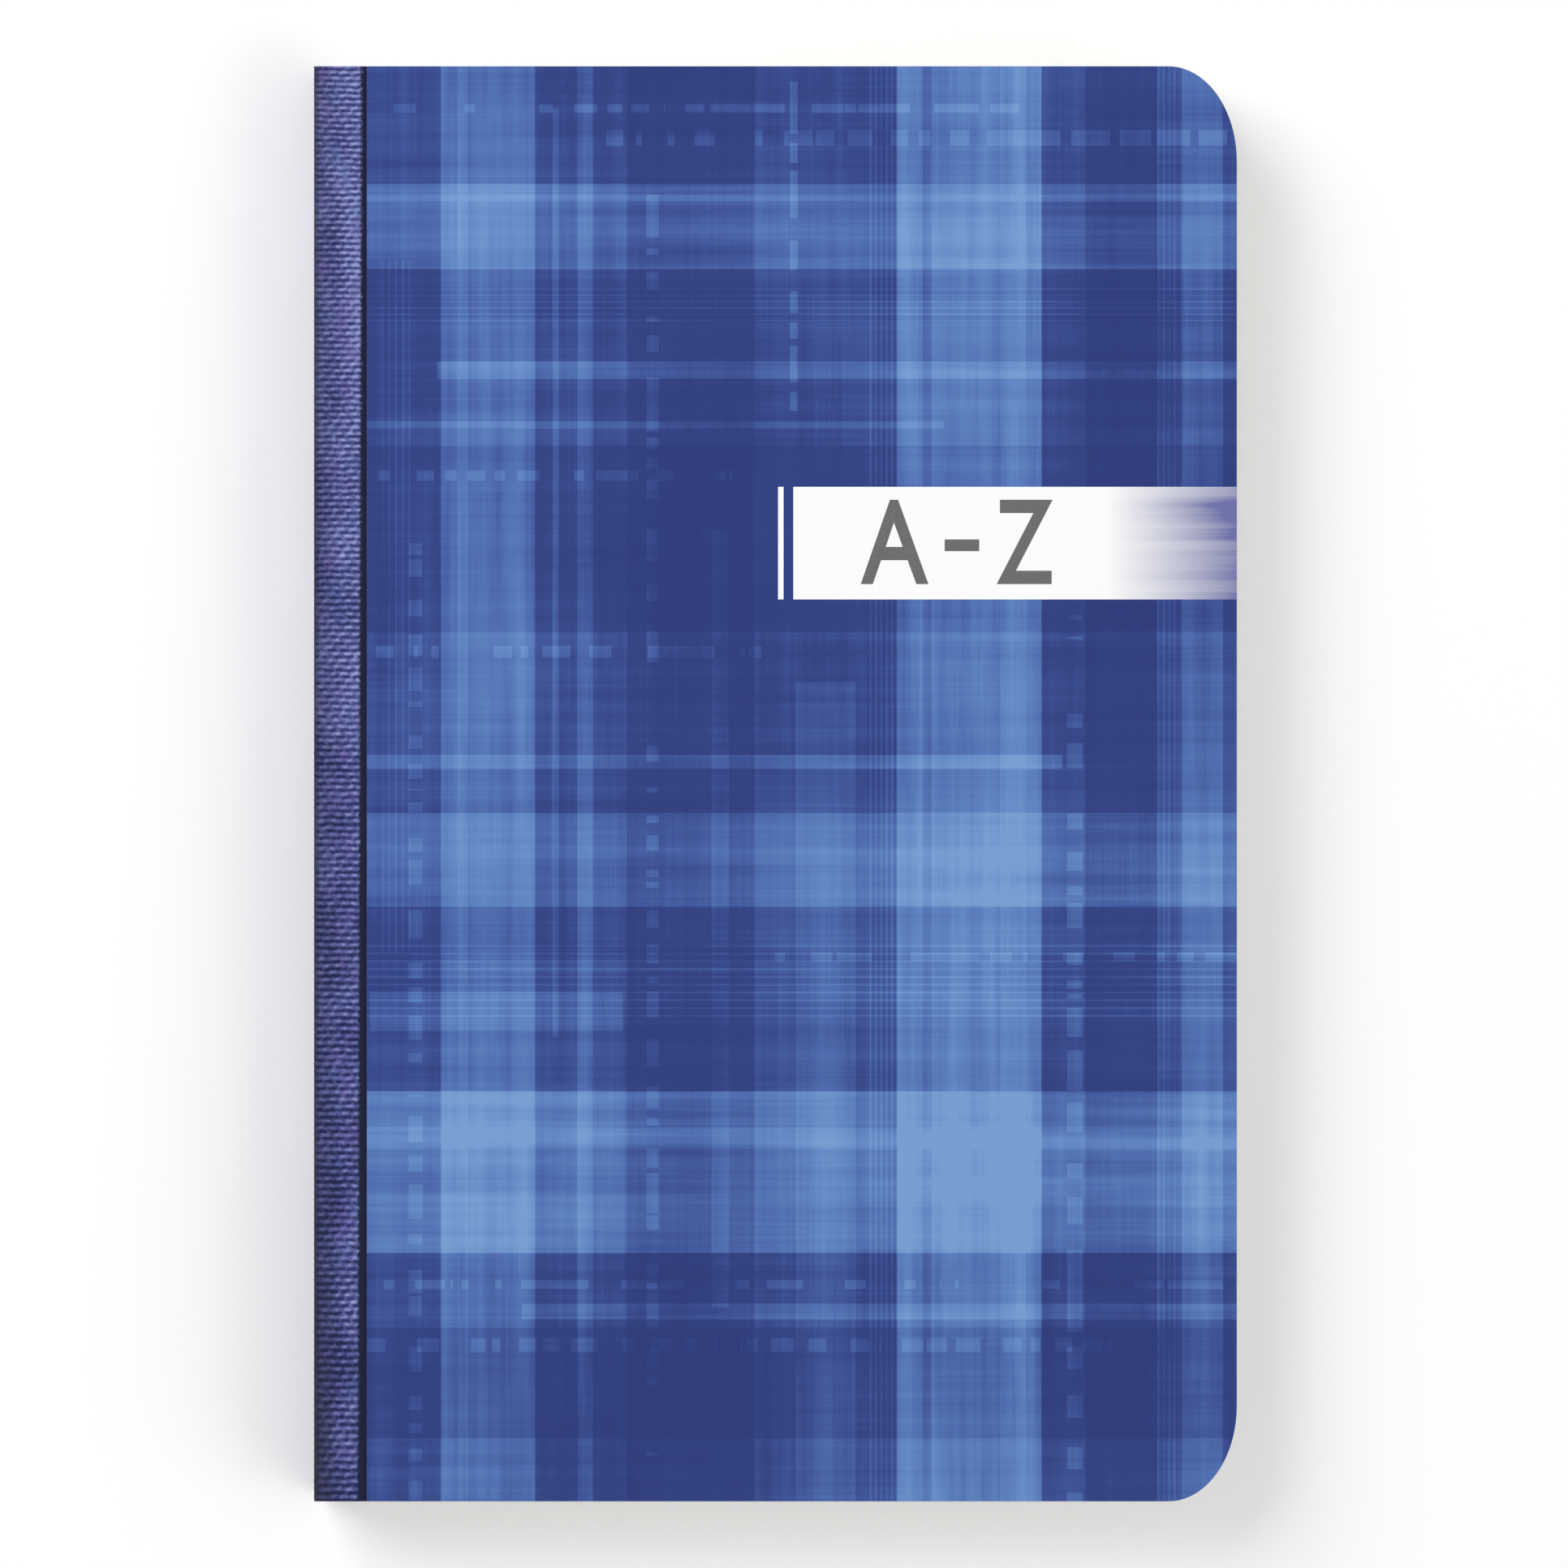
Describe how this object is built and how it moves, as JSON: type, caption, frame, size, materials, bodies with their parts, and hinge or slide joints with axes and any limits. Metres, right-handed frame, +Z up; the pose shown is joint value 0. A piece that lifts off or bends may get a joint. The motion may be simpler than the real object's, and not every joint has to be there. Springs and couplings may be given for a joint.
{
  "type": "indexed notebook",
  "caption": "Pocket notebook with a stepped thumb index, sewn sections, card covers with round corners and a cloth tape spine.",
  "frame": {"origin": "centre of the closed book's footprint, on the surface that its back cover lies on", "axes": "+X from the spine to the fore edge, +Y from the foot to the head, +Z up out of the front cover"},
  "size_m": [0.1094, 0.17, 0.0121],
  "materials": {
    "cover_card": "glossy laminated blue print",
    "cloth_tape": "ribbed violet-blue weave",
    "leaf_paper": "smooth uncoated",
    "endpaper": "smooth uncoated",
    "lining": "glued crepe",
    "thread": "twisted cotton"
  },
  "bodies": {
    "spine": {"spine_cloth": "cloth_tape", "spine_cloth_back_lap": "cloth_tape", "back_cover_hinge_strip": "cover_card", "spine_lining": "lining", "sewing_thread_1": "thread", "sewing_thread_2": "thread", "sewing_thread_3": "thread", "sewing_thread_4": "thread", "sewing_thread_5": "thread"},
    "back_cover": {"back_cover_board": "cover_card"},
    "back_endpaper": {"back_endpaper": "endpaper"},
    "section_XYZ": {"section_XYZ": "leaf_paper"},
    "section_W": {"section_W": "leaf_paper"},
    "section_V": {"section_V": "leaf_paper"},
    "section_U": {"section_U": "leaf_paper"},
    "section_T": {"section_T": "leaf_paper"},
    "section_S": {"section_S": "leaf_paper"},
    "section_R": {"section_R": "leaf_paper"},
    "section_Q": {"section_Q": "leaf_paper"},
    "section_P": {"section_P": "leaf_paper"},
    "section_O": {"section_O": "leaf_paper"},
    "section_N": {"section_N": "leaf_paper"},
    "section_M": {"section_M": "leaf_paper"},
    "section_L": {"section_L": "leaf_paper"},
    "section_K": {"section_K": "leaf_paper"},
    "section_J": {"section_J": "leaf_paper"},
    "section_I": {"section_I": "leaf_paper"},
    "section_H": {"section_H": "leaf_paper"},
    "section_G": {"section_G": "leaf_paper"},
    "section_F": {"section_F": "leaf_paper"},
    "section_E": {"section_E": "leaf_paper"},
    "section_D": {"section_D": "leaf_paper"},
    "section_C": {"section_C": "leaf_paper"},
    "section_B": {"section_B": "leaf_paper"},
    "section_A": {"section_A": "leaf_paper"},
    "front_endpaper": {"front_endpaper": "endpaper", "front_cover_hinge_strip": "cover_card", "spine_cloth_front_lap": "cloth_tape"},
    "front_cover": {"front_cover_board": "cover_card"}
  },
  "joints": [
    {"name": "back_cover_fold", "type": "hinge", "parent": "spine", "child": "back_cover", "pos_m": [-0.04887, 0, -0.00005], "axis": [0, 1, 0], "range_deg": [0, 179.9]},
    {"name": "turn_back_endpaper", "type": "hinge", "parent": "spine", "child": "back_endpaper", "pos_m": [-0.0547, 0, 0.00605], "axis": [0, -1, 0], "range_deg": [0, 179.95], "deforming": ["spine_cloth", "spine_lining", "sewing_thread_1", "sewing_thread_2", "sewing_thread_3", "sewing_thread_4", "sewing_thread_5"]},
    {"name": "turn_section_XYZ", "type": "hinge", "parent": "back_endpaper", "child": "section_XYZ", "pos_m": [-0.0547, 0, 0.00605], "axis": [0, -1, 0], "range_deg": [0, 179.95]},
    {"name": "turn_section_W", "type": "hinge", "parent": "section_XYZ", "child": "section_W", "pos_m": [-0.0547, 0, 0.00605], "axis": [0, -1, 0], "range_deg": [0, 179.95]},
    {"name": "turn_section_V", "type": "hinge", "parent": "section_W", "child": "section_V", "pos_m": [-0.0547, 0, 0.00605], "axis": [0, -1, 0], "range_deg": [0, 179.95]},
    {"name": "turn_section_U", "type": "hinge", "parent": "section_V", "child": "section_U", "pos_m": [-0.0547, 0, 0.00605], "axis": [0, -1, 0], "range_deg": [0, 179.95]},
    {"name": "turn_section_T", "type": "hinge", "parent": "section_U", "child": "section_T", "pos_m": [-0.0547, 0, 0.00605], "axis": [0, -1, 0], "range_deg": [0, 179.95]},
    {"name": "turn_section_S", "type": "hinge", "parent": "section_T", "child": "section_S", "pos_m": [-0.0547, 0, 0.00605], "axis": [0, -1, 0], "range_deg": [0, 179.95]},
    {"name": "turn_section_R", "type": "hinge", "parent": "section_S", "child": "section_R", "pos_m": [-0.0547, 0, 0.00605], "axis": [0, -1, 0], "range_deg": [0, 179.95]},
    {"name": "turn_section_Q", "type": "hinge", "parent": "section_R", "child": "section_Q", "pos_m": [-0.0547, 0, 0.00605], "axis": [0, -1, 0], "range_deg": [0, 179.95]},
    {"name": "turn_section_P", "type": "hinge", "parent": "section_Q", "child": "section_P", "pos_m": [-0.0547, 0, 0.00605], "axis": [0, -1, 0], "range_deg": [0, 179.95]},
    {"name": "turn_section_O", "type": "hinge", "parent": "section_P", "child": "section_O", "pos_m": [-0.0547, 0, 0.00605], "axis": [0, -1, 0], "range_deg": [0, 179.95]},
    {"name": "turn_section_N", "type": "hinge", "parent": "section_O", "child": "section_N", "pos_m": [-0.0547, 0, 0.00605], "axis": [0, -1, 0], "range_deg": [0, 179.95]},
    {"name": "turn_section_M", "type": "hinge", "parent": "section_N", "child": "section_M", "pos_m": [-0.0547, 0, 0.00605], "axis": [0, -1, 0], "range_deg": [0, 179.95]},
    {"name": "turn_section_L", "type": "hinge", "parent": "section_M", "child": "section_L", "pos_m": [-0.0547, 0, 0.00605], "axis": [0, -1, 0], "range_deg": [0, 179.95]},
    {"name": "turn_section_K", "type": "hinge", "parent": "section_L", "child": "section_K", "pos_m": [-0.0547, 0, 0.00605], "axis": [0, -1, 0], "range_deg": [0, 179.95]},
    {"name": "turn_section_J", "type": "hinge", "parent": "section_K", "child": "section_J", "pos_m": [-0.0547, 0, 0.00605], "axis": [0, -1, 0], "range_deg": [0, 179.95]},
    {"name": "turn_section_I", "type": "hinge", "parent": "section_J", "child": "section_I", "pos_m": [-0.0547, 0, 0.00605], "axis": [0, -1, 0], "range_deg": [0, 179.95]},
    {"name": "turn_section_H", "type": "hinge", "parent": "section_I", "child": "section_H", "pos_m": [-0.0547, 0, 0.00605], "axis": [0, -1, 0], "range_deg": [0, 179.95]},
    {"name": "turn_section_G", "type": "hinge", "parent": "section_H", "child": "section_G", "pos_m": [-0.0547, 0, 0.00605], "axis": [0, -1, 0], "range_deg": [0, 179.95]},
    {"name": "turn_section_F", "type": "hinge", "parent": "section_G", "child": "section_F", "pos_m": [-0.0547, 0, 0.00605], "axis": [0, -1, 0], "range_deg": [0, 179.95]},
    {"name": "turn_section_E", "type": "hinge", "parent": "section_F", "child": "section_E", "pos_m": [-0.0547, 0, 0.00605], "axis": [0, -1, 0], "range_deg": [0, 179.95]},
    {"name": "turn_section_D", "type": "hinge", "parent": "section_E", "child": "section_D", "pos_m": [-0.0547, 0, 0.00605], "axis": [0, -1, 0], "range_deg": [0, 179.95]},
    {"name": "turn_section_C", "type": "hinge", "parent": "section_D", "child": "section_C", "pos_m": [-0.0547, 0, 0.00605], "axis": [0, -1, 0], "range_deg": [0, 179.95]},
    {"name": "turn_section_B", "type": "hinge", "parent": "section_C", "child": "section_B", "pos_m": [-0.0547, 0, 0.00605], "axis": [0, -1, 0], "range_deg": [0, 179.95]},
    {"name": "turn_section_A", "type": "hinge", "parent": "section_B", "child": "section_A", "pos_m": [-0.0547, 0, 0.00605], "axis": [0, -1, 0], "range_deg": [0, 179.95]},
    {"name": "turn_front_endpaper", "type": "hinge", "parent": "section_A", "child": "front_endpaper", "pos_m": [-0.0547, 0, 0.00605], "axis": [0, -1, 0], "range_deg": [0, 179.95]},
    {"name": "front_cover_fold", "type": "hinge", "parent": "front_endpaper", "child": "front_cover", "pos_m": [-0.04887, 0, 0.01215], "axis": [0, -1, 0], "range_deg": [0, 179.9]}
  ]
}
